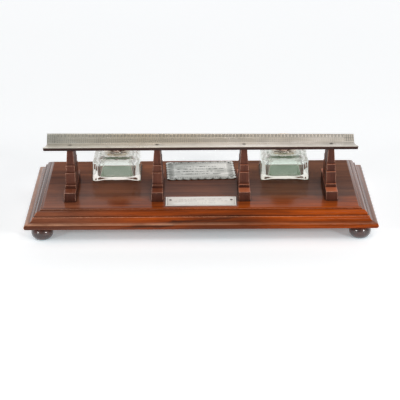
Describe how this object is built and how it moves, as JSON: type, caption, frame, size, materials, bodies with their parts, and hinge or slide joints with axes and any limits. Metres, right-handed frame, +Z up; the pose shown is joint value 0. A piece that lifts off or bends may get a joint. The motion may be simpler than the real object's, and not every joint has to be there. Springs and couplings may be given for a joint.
{
  "type": "desk inkstand",
  "caption": "Desk inkstand shaped like a bridge: moulded wooden plinth on bun feet, stepped piers carrying a plated pen rail, square glass inkwells with hinged lids.",
  "frame": {"origin": "under the middle of the plinth, on the surface the feet stand on", "axes": "+X along the plinth and rail, -Y towards the front, +Z up"},
  "size_m": [0.356, 0.1779, 0.094],
  "materials": {
    "plinth_wood": "French-polished rosewood, strong figure",
    "foot_wood": "turned and ebonised, gloss polish",
    "pier_wood": "polished rosewood with sharp edges",
    "rail_wood": "dark polished rosewood",
    "silver_plate": "worn silver plate, slightly tarnished",
    "silver_screw": "plated countersunk screws, dull",
    "plaque_silver": "engraved silver, bright ground with dark lines",
    "nameplate_silver": "polished silver, lightly engraved",
    "pin_dark": "small dark round-head pins",
    "mount_plate": "plated brass, lightly worn",
    "pin_brass": "plain drawn brass",
    "screw_steel": "plain countersunk wood screws",
    "clear_glass": "clear pressed glass, polished",
    "green_baize": "green baize, short nap"
  },
  "bodies": {
    "base": {"lower_board": "plinth_wood", "upper_board": "plinth_wood", "foot_front_left": "foot_wood", "foot_front_right": "foot_wood", "foot_back_left": "foot_wood", "foot_back_right": "foot_wood", "pier_outer_left": "pier_wood", "pier_inner_left": "pier_wood", "pier_inner_right": "pier_wood", "pier_outer_right": "pier_wood", "pier_screws": "screw_steel", "rail_board": "rail_wood", "girder_plate": "silver_plate", "rail_screws": "silver_screw", "presentation_plaque": "plaque_silver", "plaque_pins": "plaque_silver", "nameplate": "nameplate_silver", "nameplate_pins": "pin_dark", "left_baize_pad": "green_baize", "right_baize_pad": "green_baize"},
    "left_inkwell": {"left_bottle": "clear_glass", "left_collar": "mount_plate", "left_hinge_pin": "pin_brass"},
    "left_lid": {"left_lid": "mount_plate"},
    "right_inkwell": {"right_bottle": "clear_glass", "right_collar": "mount_plate", "right_hinge_pin": "pin_brass"},
    "right_lid": {"right_lid": "mount_plate"}
  },
  "joints": [
    {"name": "left_inkwell_lift", "type": "slide", "parent": "base", "child": "left_inkwell", "axis": [0, 0, 1], "range_m": [0, 0.06]},
    {"name": "left_lid_hinge", "type": "hinge", "parent": "left_inkwell", "child": "left_lid", "pos_m": [-0.0889, 0.0507, 0.0677], "axis": [-1, 0, 0], "range_deg": [0, 110]},
    {"name": "right_inkwell_lift", "type": "slide", "parent": "base", "child": "right_inkwell", "axis": [0, 0, 1], "range_m": [0, 0.06]},
    {"name": "right_lid_hinge", "type": "hinge", "parent": "right_inkwell", "child": "right_lid", "pos_m": [0.0889, 0.0507, 0.0677], "axis": [-1, 0, 0], "range_deg": [0, 110]}
  ]
}
